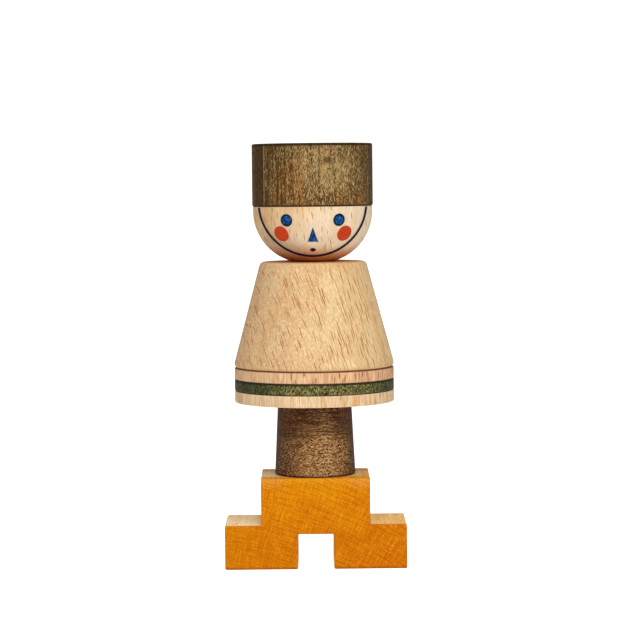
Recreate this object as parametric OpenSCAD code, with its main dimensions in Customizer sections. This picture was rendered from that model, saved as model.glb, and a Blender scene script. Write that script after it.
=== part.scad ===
// Wooden stacking doll: turned blocks threaded on a round peg that stands in a pair of feet.
// The origin is on the floor, on the axis of the peg. +Z is up and the face looks towards -Y.

/* [Feet] */
// Width over both toes
feet_w = 73.1; // [66:0.1:84]
// How much deeper the block is, from front to back, than the leg's base is wide
feet_over_leg = 0.5; // [0:0.1:4]
// Height of the whole block
feet_h = 36.7; // [34:0.1:44]
// Width of the upper part, above the toes
ankle_w = 43.8; // [36:0.2:56]
// Height of the toes
toe_h = 17.8; // [15.4:0.2:24]
// Width of the arch between the feet
arch_w = 14.4; // [8:0.1:20]
// Height of the arch
arch_h = 14.1; // [8:0.1:16]
// Rounding of the block's edges
feet_ease = 0.7; // [0.3:0.1:1.2]

/* [Leg] */
// Diameter of the leg where it stands on the feet
leg_bottom_d = 32.7; // [27:0.1:38]
// Diameter of the leg at its top
leg_top_d = 29.8; // [24:0.1:38]
// Height of the leg
leg_h = 29.6; // [20:0.1:45]
// Rounding of the leg's edges
leg_ease = 0.8; // [0.3:0.1:1.5]

/* [Discs] */
// Diameter of the three discs
disc_d = 64.5; // [50:0.1:80]
// Thickness of each disc
disc_h = 4.65; // [3:0.05:10]
// Rounding of the discs' edges
disc_ease = 0.5; // [0.2:0.1:1]

/* [Body] */
// How much wider than the discs the cone would be at its base if the edge were sharp
body_over_disc = 1.1; // [0:0.1:4]
// Diameter of the cone at its top, before the edge is rounded
body_top_d = 42.8; // [30:0.1:50]
// Height of the body
body_h = 42.75; // [30:0.05:60]
// Rounding of the lower edge
body_bottom_round = 1.8; // [0.5:0.1:4]
// Rounding of the upper edge
body_top_round = 2; // [0.5:0.1:4]

/* [Head] */
// Diameter of the head at its rim
head_d = 48.2; // [45:0.1:54]
// Height of the head
head_h = 22.3; // [20:0.1:24]
// Height of the straight rim above the bowl
head_rim_h = 2; // [1:0.1:4]
// Diameter of the flat that the head stands on
head_base_d = 17; // [14:0.1:24]
// Rounding of the rim's upper edge
head_rim_ease = 0.3; // [0.2:0.1:0.9]

/* [Hat] */
// How far the hat stands out past the head, all round
hat_brim = 0.3; // [0:0.1:4]
// Height of the hat
hat_h = 25.2; // [22:0.1:40]
// Rounding of the hat's edges
hat_ease = 0.8; // [0.3:0.1:2]

/* [Peg] */
// Diameter of the peg
peg_d = 10; // [6:0.1:12]
// Wood left in the feet between the arch and the blind hole that the peg stands in
peg_floor_h = 6.6; // [3:0.1:12]
// Length of peg that reaches up into the hat
peg_in_hat_h = 15; // [6:0.1:17]
// Room above the peg inside the hat
peg_tip_room = 2; // [0.5:0.1:4]
// Rounding of the peg's tip
peg_tip_round = 2.4; // [0.5:0.1:2.8]
// Clearance all round the peg in the feet
seat_clearance = 0.1; // [0.05:0.01:0.3]
// Clearance all round the peg in every piece that is threaded on it
slip_clearance = 0.5; // [0.3:0.05:1]
// Bevel at the mouth of each bore
mouth_bevel = 0.6; // [0.2:0.1:1]

/* [Painted face] */
// Diameter of an eye
eye_d = 5; // [3:0.1:7]
// Diameter of a cheek
cheek_d = 6.6; // [4:0.1:8]
// Width of the nose at its base
nose_w = 4.1; // [2:0.1:6]
// Height of the nose
nose_h = 5.8; // [3:0.1:7]
// Width of the mouth
mouth_w = 2.4; // [1.5:0.1:5]
// Height of the mouth
mouth_h = 1.4; // [0.8:0.1:1.4]
// Width of the line round the face
line_w = 0.85; // [0.4:0.05:1.2]
// Thickness of the paint
paint_t = 0.15; // [0.1:0.01:0.3]

/* [Hidden] */
$fn = 96;

// Radius of the bowl's lower curve, as a share of the head's diameter
head_crown_share = 0.581;
// Places on the face: across as shares of the head's radius, down from its top as shares of its height
eye_across_share = 0.433;
eye_down_share = 0.238;
cheek_across_share = 0.52;
cheek_down_share = 0.484;
nose_down_share = 0.365;
mouth_down_share = 0.771;
// The line round the face is part of a circle when it is seen from the front: its radius as a share
// of the head's, and how far above the head its centre lies as a share of the head's height
line_r_share = 0.895;
line_rise_share = 0.081;

// Bevel at the peg's lower end
peg_foot_bevel = mouth_bevel;
// How far a cut runs past the face it opens
overrun = feet_ease;
// How far a round bulges past the sides it joins, so that it crosses them cleanly
blend = 0.0005;

// Height at which each piece stands
leg_z = feet_h;
lower_disc_z = leg_z + leg_h;
green_disc_z = lower_disc_z + disc_h;
upper_disc_z = green_disc_z + disc_h;
body_z = upper_disc_z + disc_h;
head_z = body_z + body_h;
hat_z = head_z + head_h;
peg_z = arch_h + peg_floor_h;
peg_top_z = hat_z + peg_in_hat_h;

seat_r = peg_d / 2 + seat_clearance;
bore_r = peg_d / 2 + slip_clearance;
foot_w = (feet_w - arch_w) / 2;
feet_d = leg_bottom_d + feet_over_leg;
body_bottom_d = disc_d + body_over_disc;
hat_d = head_d + 2 * hat_brim;

// The bowl's lower curve is centred on the peg and ends at the base, and the shoulder's
// curve joins it to the rim without a kink. Both centres are measured from the base.
head_r = head_d / 2;
crown_r = head_d * head_crown_share;
crown_z = sqrt(crown_r * crown_r - head_base_d * head_base_d / 4);
rim_z = head_h - head_rim_h;
centre_gap_z = crown_z - rim_z;
shoulder_r = min(
    (crown_r * crown_r - head_r * head_r - centre_gap_z * centre_gap_z) / 2 / (crown_r - head_r),
    head_r
);
shoulder_x = head_r - shoulder_r;

function unit(v) = v / norm(v);

// What a round of radius r takes off a corner between two straight sides, and as much again
// outside them
module corner_waste(before, corner, after, r) {
    to_before = unit(before - corner);
    to_after = unit(after - corner);
    half_angle = acos(to_before * to_after) / 2;
    centre = corner + unit(to_before + to_after) * r / sin(half_angle);
    touch_before = corner + to_before * r / tan(half_angle);
    touch_after = corner + to_after * r / tan(half_angle);
    difference() {
        polygon([
            centre, 2 * touch_before - centre, 2 * corner - centre, 2 * touch_after - centre
        ]);
        translate(centre) circle(r = r + blend);
    }
}

// A closed outline whose corners are rounded, with one radius for each point
module eased_outline(points, rounds) {
    count = len(points);
    difference() {
        polygon(points);
        for (i = [0 : count - 1])
            if (rounds[i] > 0)
                corner_waste(
                    points[(i + count - 1) % count], points[i], points[(i + 1) % count], rounds[i]
                );
    }
}

// A rectangle about the origin with all four corners rounded
module eased_rectangle(w, h, r) {
    eased_outline([[-w, -h] / 2, [w, -h] / 2, [w, h] / 2, [-w, h] / 2], [r, r, r, r]);
}

// A bar about the origin with every edge rounded
module eased_bar(w, d, h, r) {
    intersection() {
        linear_extrude(height = h, center = true) eased_rectangle(w, d, r);
        rotate([90, 0, 0]) linear_extrude(height = d, center = true) eased_rectangle(w, h, r);
        rotate([90, 0, 90]) linear_extrude(height = w, center = true) eased_rectangle(d, h, r);
    }
}

// Half section of the bore for the peg through a piece, bevelled at both mouths
module bore_section(h) {
    polygon([
        [0, 0], [bore_r + mouth_bevel, 0], [bore_r, mouth_bevel], [bore_r, h - mouth_bevel],
        [bore_r + mouth_bevel, h], [0, h]
    ]);
}

// A turned block, straight or tapered, bored for the peg
module turned_block(bottom_d, top_d, h, bottom_round, top_round) {
    rotate_extrude()
        difference() {
            eased_outline(
                [[0, 0], [bottom_d / 2, 0], [top_d / 2, h], [0, h]],
                [0, bottom_round, top_round, 0]
            );
            bore_section(h);
        }
}

// Half section of the head without its bore, and with a coat of paint over it
module bowl_section(coat) {
    reach = head_d + head_h;
    join = unit([shoulder_x, -centre_gap_z]);
    intersection() {
        square([head_d, head_h]);
        union() {
            translate([0, rim_z]) square([head_r + coat - blend, head_rim_h]);
            translate([shoulder_x, rim_z]) circle(r = shoulder_r + coat);
            intersection() {
                translate([0, crown_z]) circle(r = crown_r + coat - blend);
                polygon([[0, crown_z], [0, crown_z - reach], [0, crown_z] + reach * join]);
            }
        }
    }
}

// What rounding the rim takes off the head's half section
module rim_waste() {
    corner_waste([head_r, 0], [head_r, head_h], [0, head_h], head_rim_ease);
}

// A coat of paint on the bowl, where the marks drawn on a flat in front of it fall.
// The flat's origin is on the peg's axis at the top of the head.
module painted_from_front() {
    intersection() {
        paint_shell();
        translate([0, 0, head_h]) rotate([90, 0, 0]) linear_extrude(height = head_d) children();
    }
}

// The whole bowl's coat of paint, below the rounded rim
module paint_shell() {
    rotate_extrude()
        intersection() {
            difference() {
                bowl_section(paint_t);
                bowl_section(0);
            }
            square([head_d, head_h - head_rim_ease]);
        }
}

// Two dots of paint, one each side of the nose, each round when it is looked at squarely
module dot_pair(across_share, down_share, d) {
    dip = asin((down_share * head_h - head_rim_h) / shoulder_r);
    turn = asin(across_share * head_r / (shoulder_x + shoulder_r * cos(dip)));
    intersection() {
        paint_shell();
        for (side = [-1, 1])
            rotate([0, 0, side * turn])
                translate([0, -shoulder_x, rim_z])
                    rotate([90 + dip, 0, 0]) cylinder(d = d, h = head_d);
    }
}

module nose_outline() {
    top = -nose_down_share * head_h;
    polygon([[0, top], [-nose_w / 2, top - nose_h], [nose_w / 2, top - nose_h]]);
}

// A lens with two pointed ends
module mouth_outline() {
    lip_r = (mouth_w * mouth_w + mouth_h * mouth_h) / 4 / mouth_h;
    translate([0, -mouth_down_share * head_h])
        intersection() {
            translate([0, mouth_h / 2 - lip_r]) circle(r = lip_r);
            translate([0, lip_r - mouth_h / 2]) circle(r = lip_r);
        }
}

// A ring, of which the lower half falls on the head
module line_outline() {
    line_r = line_r_share * head_r;
    translate([0, line_rise_share * head_h])
        difference() {
            circle(r = line_r + line_w / 2);
            circle(r = line_r - line_w / 2);
        }
}

// Two eased toes under one eased ankle, which leave the arch open, with the peg's seat
module feet() {
    color("darkorange")
        difference() {
            union() {
                for (side = [-1, 1])
                    translate([side * (feet_w - foot_w) / 2, 0, toe_h / 2])
                        eased_bar(foot_w, feet_d, toe_h, feet_ease);
                translate([0, 0, (feet_h + arch_h) / 2])
                    eased_bar(ankle_w, feet_d, feet_h - arch_h, feet_ease);
            }
            rotate_extrude()
                polygon([
                    [0, peg_z], [seat_r, peg_z], [seat_r, feet_h - mouth_bevel],
                    [seat_r + mouth_bevel, feet_h], [seat_r + mouth_bevel, feet_h + overrun],
                    [0, feet_h + overrun]
                ]);
        }
}

// A plain dowel, bevelled where it stands and rounded at its tip
module peg() {
    peg_h = peg_top_z - peg_z;
    color("burlywood")
        translate([0, 0, peg_z])
            rotate_extrude()
                eased_outline(
                    [
                        [0, 0], [peg_d / 2 - peg_foot_bevel, 0], [peg_d / 2, peg_foot_bevel],
                        [peg_d / 2, peg_h], [0, peg_h]
                    ],
                    [0, 0, 0, peg_tip_round, 0]
                );
}

module leg() {
    color("saddlebrown")
        translate([0, 0, leg_z]) turned_block(leg_bottom_d, leg_top_d, leg_h, leg_ease, leg_ease);
}

module disc() {
    turned_block(disc_d, disc_d, disc_h, disc_ease, disc_ease);
}

module lower_disc() {
    color("burlywood") translate([0, 0, lower_disc_z]) disc();
}

module green_disc() {
    color("darkolivegreen") translate([0, 0, green_disc_z]) disc();
}

module upper_disc() {
    color("burlywood") translate([0, 0, upper_disc_z]) disc();
}

module body() {
    color("burlywood")
        translate([0, 0, body_z])
            turned_block(body_bottom_d, body_top_d, body_h, body_bottom_round, body_top_round);
}

// A bowl with a short straight rim, turned in one profile and bored for the peg
module head() {
    color("wheat")
        translate([0, 0, head_z])
            rotate_extrude()
                difference() {
                    bowl_section(0);
                    rim_waste();
                    bore_section(head_h);
                }
}

// A short cylinder with a blind bore that covers the tip of the peg
module hat() {
    hat_bore_h = peg_in_hat_h + peg_tip_room;
    color("darkkhaki")
        translate([0, 0, hat_z])
            rotate_extrude()
                eased_outline(
                    [
                        [bore_r + mouth_bevel, 0], [hat_d / 2, 0], [hat_d / 2, hat_h], [0, hat_h],
                        [0, hat_bore_h], [bore_r, hat_bore_h], [bore_r, mouth_bevel]
                    ],
                    [0, hat_ease, hat_ease, 0, 0, 0, 0]
                );
}

// Both eyes and the nose
module blue_paint() {
    color("midnightblue")
        translate([0, 0, head_z]) {
            dot_pair(eye_across_share, eye_down_share, eye_d);
            painted_from_front() nose_outline();
        }
}

// Both cheeks
module red_paint() {
    color("orangered")
        translate([0, 0, head_z]) dot_pair(cheek_across_share, cheek_down_share, cheek_d);
}

// The mouth and the line round the face
module dark_paint() {
    color("black")
        translate([0, 0, head_z])
            painted_from_front() {
                mouth_outline();
                line_outline();
            }
}

feet();
peg();
leg();
lower_disc();
green_disc();
upper_disc();
body();
head();
hat();
blue_paint();
red_paint();
dark_paint();
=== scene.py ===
# %% [markdown]
# # A stacking doll in turned wood
#
# The doll is nine blocks of beech: a pair of stepped feet, a peg that stands in them, and seven turned
# blocks threaded on the peg. Some are bare, some are stained, and one has a face painted on it.
# The imported CAD model is the measured skeleton. Here each block but the peg is made again as a
# clean mesh with softly rounded edges, and each gets a wood of its own. The origin is on the floor,
# on the peg's axis, and the face looks towards -Y.

import math

import bmesh
import bpy
from mathutils import Euler, Matrix, Vector


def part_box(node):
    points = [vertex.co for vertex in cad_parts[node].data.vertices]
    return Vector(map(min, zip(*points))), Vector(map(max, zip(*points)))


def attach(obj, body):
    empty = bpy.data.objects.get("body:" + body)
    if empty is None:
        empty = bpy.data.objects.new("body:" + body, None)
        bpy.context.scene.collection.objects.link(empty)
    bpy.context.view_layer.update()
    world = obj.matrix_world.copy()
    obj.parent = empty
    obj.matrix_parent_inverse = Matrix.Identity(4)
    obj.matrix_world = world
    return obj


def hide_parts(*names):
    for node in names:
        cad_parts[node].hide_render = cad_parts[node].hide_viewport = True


MM = 0.001
TINY = 0.001 * MM
CREASE = math.radians(40)
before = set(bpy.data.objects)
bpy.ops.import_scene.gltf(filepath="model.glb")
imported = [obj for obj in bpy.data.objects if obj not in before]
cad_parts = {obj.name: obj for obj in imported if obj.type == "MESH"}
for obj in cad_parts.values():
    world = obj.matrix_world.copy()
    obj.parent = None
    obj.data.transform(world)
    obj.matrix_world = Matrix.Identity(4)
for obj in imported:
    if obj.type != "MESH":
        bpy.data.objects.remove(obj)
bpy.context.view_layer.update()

# %% [markdown]
# ## The camera
#
# The picture was taken from a metre away with a long lens, a little above the doll's middle, so the
# discs show as shallow curves. A long lens has to stand at the right distance too, because that is
# what sets how much the top and the bottom of the doll open out. The doll leans a little in the
# picture, and tilting the camera gives the same lean without moving the doll.

# %% Set up the camera
LENS_PIXELS, FRAME_PIXELS = 2425, 625
CAMERA_X, CAMERA_Y, CAMERA_Z = -0.47, -981.1, 157.0
LOOK_DOWN, LEAN = math.radians(3.198), math.radians(0.6)
camera_data = bpy.data.cameras.new("camera")
camera_data.sensor_width = 36
camera_data.lens = LENS_PIXELS / FRAME_PIXELS * camera_data.sensor_width
camera_data.clip_start, camera_data.clip_end = 0.05, 20
camera = bpy.data.objects.new("camera", camera_data)
camera.location = (CAMERA_X * MM, CAMERA_Y * MM, CAMERA_Z * MM)
camera.rotation_euler = (
    Matrix.Rotation(math.pi / 2 - LOOK_DOWN, 3, "X") @ Matrix.Rotation(-LEAN, 3, "Z")
).to_euler()
bpy.context.scene.collection.objects.link(camera)
bpy.context.scene.camera = camera
print("lens in mm:", round(camera_data.lens, 1))

# %% [markdown]
# ## Drawing a turned block
#
# A turned block could be a cylinder with its edges bevelled, but a lathe works from a profile, and so
# do we: half of the block's section is drawn as one flat face, its corners are rounded, and its rim is
# spun round the peg's axis. While a corner is rounded we note on its points how far out on the edge
# they are. The spin copies that note all round the block, and the materials use it later to show
# where hands and sandpaper have rubbed. A second note says how squarely each place cuts across the
# fibres, where wood is darker.


# %% Draw half a section
def draw_points(shape, points, foot):
    """Adds points (radius, height) in mm, measured from the height at which the block stands."""
    for radius, height in points:
        shape.verts.new((radius * MM, 0, foot + height * MM))


def draw_arc(shape, centre, degrees, foot, steps):
    """Carries the last point on along an arc round a centre (radius, height)."""
    shape.verts.ensure_lookup_table()
    bmesh.ops.spin(
        shape, geom=[shape.verts[-1]], cent=(centre[0] * MM, 0, foot + centre[1] * MM),
        axis=(0, 1, 0), dvec=(0, 0, 0), angle=math.radians(degrees), steps=steps,
        use_merge=False, use_duplicate=False, use_normal_flip=False,
    )


def new_outline():
    """An empty mesh whose points carry a note named edge."""
    shape = bmesh.new()
    shape.verts.layers.float.new("edge")
    return shape


# %% Round its corners
def round_corner(shape, place, radius, foot, steps=6):
    """Rounds the corner nearest to a place (radius, height), and marks its points as edge."""
    corner = Vector((place[0] * MM, 0, foot + place[1] * MM))
    point = min(shape.verts, key=lambda v: (v.co - corner).length)
    one, other = (edge.other_vert(point).co - point.co for edge in point.link_edges)
    reach = radius * MM / math.tan(one.angle(other) / 2)
    arc = bmesh.ops.bevel(
        shape, geom=[point], offset=reach, offset_type="OFFSET", affect="VERTICES",
        segments=steps, profile=0.5, material=-1,
    )["verts"]
    edge = shape.verts.layers.float["edge"]
    nearest = min((v.co - corner).length for v in arc)
    for v in arc:
        v[edge] = 1 - ((v.co - corner).length - nearest) / (reach - nearest)


# %% Spin the section round the peg
def spin_outline(shape, grid=1.2, steps=144):
    """Turns the outline into a closed shell, with rows no taller than grid in mm."""
    bmesh.ops.delete(shape, geom=shape.faces[:], context="FACES_ONLY")
    on_axis = [e for e in shape.edges if all(abs(v.co.x) < TINY for v in e.verts)]
    bmesh.ops.delete(shape, geom=on_axis, context="EDGES")
    for edge in shape.edges[:]:
        cuts = int(edge.calc_length() / (grid * MM))
        if cuts:
            bmesh.ops.subdivide_edges(shape, edges=[edge], cuts=cuts)
    bmesh.ops.spin(
        shape, geom=shape.verts[:] + shape.edges[:], cent=(0, 0, 0), axis=(0, 0, 1),
        dvec=(0, 0, 0), angle=math.tau, steps=steps, use_merge=True, use_duplicate=False,
        use_normal_flip=False,
    )
    bmesh.ops.remove_doubles(shape, verts=shape.verts[:], dist=TINY)
    bmesh.ops.recalc_face_normals(shape, faces=shape.faces[:])


def settle(name, shape, body, node, fibre=(0, 0, 1)):
    """Makes the mesh an object that rides on a body and stands for a CAD node."""
    shape.normal_update()
    end = shape.verts.layers.float.new("end")
    for v in shape.verts:
        v[end] = abs(v.normal.dot(Vector(fibre)))
    mesh = bpy.data.meshes.new(name)
    shape.to_mesh(mesh)
    shape.free()
    mesh.shade_smooth()
    mesh.set_sharp_from_angle(angle=CREASE)
    piece = bpy.data.objects.new(name, mesh)
    bpy.context.scene.collection.objects.link(piece)
    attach(piece, body)
    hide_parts(node)
    low, high = (Vector([f(v.co[i] for v in mesh.vertices) for i in range(3)]) for f in (min, max))
    print(name, "size in mm:", [round(c / MM, 2) for c in high - low], "faces:", len(mesh.polygons))
    return piece


# %% [markdown]
# ## The straight and tapered blocks
#
# The leg, the three discs and the body differ only in their two diameters, their height and how
# softly their edges are rounded. Each is bored right through for the peg, with a small bevel at both
# mouths of the bore, so the section is a slice of wall between the bore and the outside.

# %% Turn the leg, the discs and the body
BORE_R, MOUTH = 5.5, 0.6
DISC_R, DISC_ROUND = 32.25, 0.5


def turned_block(name, bottom_r, top_r, bottom_round, top_round, fibre=(0, 0, 1)):
    """Turns a bored block from its two radii and the rounding of its two rims, in mm."""
    low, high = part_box(name)
    foot, tall = low.z, (high.z - low.z) / MM
    shape = new_outline()
    draw_points(shape, [
        (BORE_R + MOUTH, 0), (bottom_r, 0), (top_r, tall), (BORE_R + MOUTH, tall),
        (BORE_R, tall - MOUTH), (BORE_R, MOUTH),
    ], foot)
    shape.faces.new(shape.verts[:])
    round_corner(shape, (bottom_r, 0), bottom_round, foot)
    round_corner(shape, (top_r, tall), top_round, foot)
    spin_outline(shape)
    return settle("turned_" + name, shape, name, name, fibre)


leg = turned_block("leg", 16.35, 14.9, 0.8, 0.8, fibre=(0, 1, 0))
lower_disc, green_disc, upper_disc = (
    turned_block(name, DISC_R, DISC_R, DISC_ROUND, DISC_ROUND)
    for name, slot in (("lower_disc", "beech"), ("green_disc", "green_wood"), ("upper_disc", "beech"))
)
body = turned_block("body", 32.8, 21.4, 1.8, 2)

# %% [markdown]
# ## The head and the hat
#
# The head is a bowl: a wide curve near the base runs into a tighter one at the shoulder without a
# kink, because the centres of both arcs lie on one line with the place where they meet. Arcs are drawn
# by spinning the last point of the outline, which is the same operator that turns the block.
# The hat's bore is blind. It covers the tip of the peg.

# %% Turn the head
HEAD_R, HEAD_H, RIM_H, BASE_R, RIM_ROUND = 24.1, 22.3, 2.0, 8.5, 0.3
CROWN_SHARE = 0.581  # the crown's radius as a share of the head's width
crown_r = 2 * HEAD_R * CROWN_SHARE
crown_z = math.sqrt(crown_r**2 - BASE_R**2)
rim_z = HEAD_H - RIM_H
gap_z = crown_z - rim_z
shoulder_r = (crown_r**2 - HEAD_R**2 - gap_z**2) / 2 / (crown_r - HEAD_R)
shoulder_x = HEAD_R - shoulder_r
join = math.degrees(math.atan2(shoulder_x, gap_z))
start = math.degrees(math.asin(BASE_R / crown_r))
print("radii of the bowl in mm: crown", round(crown_r, 1), "shoulder", round(shoulder_r, 1))

head_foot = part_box("head")[0].z
shape = new_outline()
draw_points(shape, [(BORE_R, MOUTH), (BORE_R + MOUTH, 0), (BASE_R, 0)], head_foot)
draw_arc(shape, (0, crown_z), start - join, head_foot, steps=12)
draw_arc(shape, (shoulder_x, rim_z), join - 90, head_foot, steps=40)
draw_points(shape, [(HEAD_R, HEAD_H), (BORE_R + MOUTH, HEAD_H), (BORE_R, HEAD_H - MOUTH)], head_foot)
shape.faces.new(shape.verts[:])
round_corner(shape, (HEAD_R, HEAD_H), RIM_ROUND, head_foot)
spin_outline(shape)
head = settle("turned_head", shape, "head", "head")

# %% Turn the hat
HAT_ROUND, HAT_BORE = 0.8, 17
low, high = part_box("hat")
hat_r, hat_h, hat_foot = high.x / MM, (high.z - low.z) / MM, low.z
shape = new_outline()
draw_points(shape, [
    (BORE_R, MOUTH), (BORE_R + MOUTH, 0), (hat_r, 0), (hat_r, hat_h), (0, hat_h), (0, HAT_BORE),
    (BORE_R, HAT_BORE),
], hat_foot)
shape.faces.new(shape.verts[:])
for height in (0, hat_h):
    round_corner(shape, (hat_r, height), HAT_ROUND, hat_foot)
spin_outline(shape)
hat = settle("turned_hat", shape, "hat", "hat")

# %% [markdown]
# ## The feet
#
# The feet are one block with a step on each side and an arch between them. It was cut from a long
# moulding, so its front and back are end grain. It is drawn as its front outline, pulled back to its
# depth, and bevelled on every edge except the four inner corners, which a saw leaves sharp. The bevel
# says which faces it made, and their points get the same edge mark as on the turned blocks.

# %% Saw out the feet
def points_of(geometry):
    """The points among the parts that an operator gives back."""
    return [part for part in geometry if isinstance(part, bmesh.types.BMVert)]


half_w, half_d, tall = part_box("feet")[1]
ankle, arch, arch_top, toe_top, eased_by = (c * MM for c in (21.9, 7.2, 14.1, 17.8, 0.7))
right_side = [
    (arch, arch_top), (arch, 0), (half_w, 0), (half_w, toe_top), (ankle, toe_top), (ankle, tall),
]
left_side = [(-x, z) for x, z in reversed(right_side)]
shape = bmesh.new()
edge = shape.verts.layers.float.new("edge")
front = shape.faces.new([shape.verts.new((x, -half_d, z)) for x, z in right_side + left_side])
pulled = bmesh.ops.extrude_face_region(shape, geom=[front], use_keep_orig=True)["geom"]
bmesh.ops.translate(shape, vec=(0, 2 * half_d, 0), verts=points_of(pulled))
bmesh.ops.recalc_face_normals(shape, faces=shape.faces[:])
inner = [Vector((ankle, 0, toe_top)), Vector((arch, 0, arch_top))]


def is_inner(e):
    """True where an edge runs from front to back through an inner corner."""
    one, other = (v.co for v in e.verts)
    corner = Vector((abs(one.x), 0, one.z))
    return abs(one.y - other.y) > TINY and any((corner - c).length < TINY for c in inner)


outer = [e for e in shape.edges if not is_inner(e)]
eased = set(bmesh.ops.bevel(
    shape, geom=outer, offset=eased_by, offset_type="OFFSET", affect="EDGES", segments=5, profile=0.5,
    material=-1,
)["faces"])
for v in shape.verts:
    v[edge] = float(all(f in eased for f in v.link_faces))
print("edges bevelled:", len(outer), "faces made by the bevel:", len(eased))

# %% Bore the hole for the peg
HOLE_R, HOLE_DEPTH, ABOVE = 5.1, 16, 1
feet = settle("sawn_feet", shape, "feet", "feet", fibre=(0, 1, 0))
drill_shape = new_outline()
draw_points(drill_shape, [
    (0, -HOLE_DEPTH), (HOLE_R, -HOLE_DEPTH), (HOLE_R, -MOUTH), (HOLE_R + MOUTH + ABOVE, ABOVE),
    (0, ABOVE),
], tall)
drill_shape.faces.new(drill_shape.verts[:])
spin_outline(drill_shape, grid=4, steps=96)
drill_mesh = bpy.data.meshes.new("drill")
drill_shape.to_mesh(drill_mesh)
drill_shape.free()
drill = bpy.data.objects.new("drill", drill_mesh)
bpy.context.scene.collection.objects.link(drill)
bore = feet.modifiers.new("bore", "BOOLEAN")
bore.operation, bore.solver, bore.object = "DIFFERENCE", "EXACT", drill
bored = bpy.data.meshes.new_from_object(feet.evaluated_get(bpy.context.evaluated_depsgraph_get()))
feet.modifiers.remove(bore)
feet.data = bored
feet.data.set_sharp_from_angle(angle=CREASE)
bpy.data.objects.remove(drill)
flatten = feet.modifiers.new("weighted_normal", "WEIGHTED_NORMAL")
flatten.keep_sharp = True
print("bored feet:", len(feet.data.polygons), "faces")


# %% [markdown]
# ## Tools for building materials
#
# A few small helpers keep the node trees readable: one adds any node and wires it, and the others are
# shorthand for the nodes used most. A colour is given as it looks on a screen, 0 to 255, and is turned
# into the linear light that a shader works in.

# %% Helpers for node trees
def add(tree, kind, sockets=None, **settings):
    """Adds a node. Each socket gets a plain value, or is wired to another node's output."""
    node = tree.nodes.new("ShaderNode" + kind)
    for name, value in settings.items():
        setattr(node, name, value)
    for name, value in (sockets or {}).items():
        if isinstance(value, bpy.types.NodeSocket):
            tree.links.new(value, node.inputs[name])
        else:
            node.inputs[name].default_value = value
    return node


def sums(tree, operation, *values):
    """A Math node."""
    return add(tree, "Math", dict(enumerate(values)), operation=operation).outputs[0]


def times(tree, first, second):
    """The product of two values."""
    return sums(tree, "MULTIPLY", first, second)


def split(tree, place):
    """The three lengths that make a place."""
    return add(tree, "SeparateXYZ", {0: place}).outputs


def vectors(tree, operation, first, second):
    """A Vector Math node."""
    return add(tree, "VectorMath", {0: first, 1: second}, operation=operation).outputs[0]


def ramp(tree, value, low, high, bottom=0.0, top=1.0):
    """Brings low..high smoothly to bottom..top."""
    sockets = {"Value": value, "From Min": low, "From Max": high, "To Min": bottom, "To Max": top}
    return add(tree, "MapRange", sockets, interpolation_type="SMOOTHSTEP").outputs[0]


def mixed(tree, amount, first, second):
    """A Mix node for colours."""
    return add(tree, "Mix", {0: amount, 6: first, 7: second}, data_type="RGBA").outputs[2]


def colour(red, green, blue):
    """A screen colour, 0 to 255, in linear light."""
    shares = [c / 255 for c in (red, green, blue)]
    return (*[c / 12.92 if c <= 0.04045 else ((c + 0.055) / 1.055) ** 2.4 for c in shares], 1)


def new_group(name, takes, gives):
    """A node group, with its input sockets and its output sockets ready for wiring."""
    group = bpy.data.node_groups.new(name, "ShaderNodeTree")
    for label, value in takes.items():
        kind = {float: "Float", tuple: "Color", type(None): "Vector"}[type(value)]
        socket = group.interface.new_socket(label, in_out="INPUT", socket_type="NodeSocket" + kind)
        if value is not None:
            socket.default_value = value
    for label in gives:
        kind = "Color" if label == "Color" else "Float"
        group.interface.new_socket(label, in_out="OUTPUT", socket_type="NodeSocket" + kind)
    return group, group.nodes.new("NodeGroupInput").outputs, group.nodes.new("NodeGroupOutput").inputs


def use(tree, group, sockets):
    """Places a group in a tree."""
    return add(tree, "Group", sockets, node_tree=group).outputs


# %% [markdown]
# ## Wood as a solid
#
# A picture of wood wrapped round a block looks wrong at once, because real grain runs through the block
# and each face cuts it differently. So the patterns here live in the log that the block was cut from.
# A place in the log is given by three lengths in metres: across, round the trunk's middle; out, away
# from the middle; and along the fibres. Rings depend on out alone. Rays are thin across, long outwards.
# End grain, streaks and arcs then come by themselves wherever a face cuts the log.


# %% From the doll's space to the log's
def log_space(tree, turn, heart):
    """The Object coordinates as seen from the heart of the log, plain and wrapped round it.

    turn: how the fibres lie, in degrees about X, Y and Z. heart: a place on the log's axis, in mm.
    """
    place = add(tree, "TexCoord").outputs["Object"]
    turn = [math.radians(a) for a in turn]
    sockets = {"Vector": place, "Rotation": turn, "Location": [c * MM for c in heart]}
    plain = add(tree, "Mapping", sockets, vector_type="TEXTURE").outputs[0]
    x, y, along = split(tree, plain)
    out = sums(tree, "SQRT", sums(tree, "MULTIPLY_ADD", x, x, times(tree, y, y)))
    angle = sums(tree, "ARCTAN2", x, y)
    far = Euler(turn).to_matrix().transposed() @ Vector(heart)
    across = times(tree, angle, far.xy.length * MM)
    return plain, add(tree, "CombineXYZ", {0: across, 1: out, 2: along}).outputs[0]


# %% Soft patches
def patch(tree, place, centre, reach):
    """1 at a centre, fading to 0 at its reach, both in mm along X, Y and Z."""
    centre, reach = ([c * MM for c in size] for size in (centre, reach))
    away = vectors(tree, "SUBTRACT", place, centre)
    away = vectors(tree, "DIVIDE", away, reach)
    far = add(tree, "VectorMath", {0: away}, operation="LENGTH").outputs["Value"]
    return ramp(tree, far, 1.0, 0.3)


# %% [markdown]
# ## The marks of beech
#
# Beech is known by its rays. Where a face cuts them end on, they show as short dashes, a few
# millimetres long and a third of a millimetre thick. Each lies in the middle of a squeezed cell of a
# Voronoi texture, only a share of the cells has one, and a gap makes the cells wider than the dashes.
# The rings are a sawtooth: the wood darkens slowly through a year's growth and starts pale again,
# which leaves a fine line.


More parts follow.
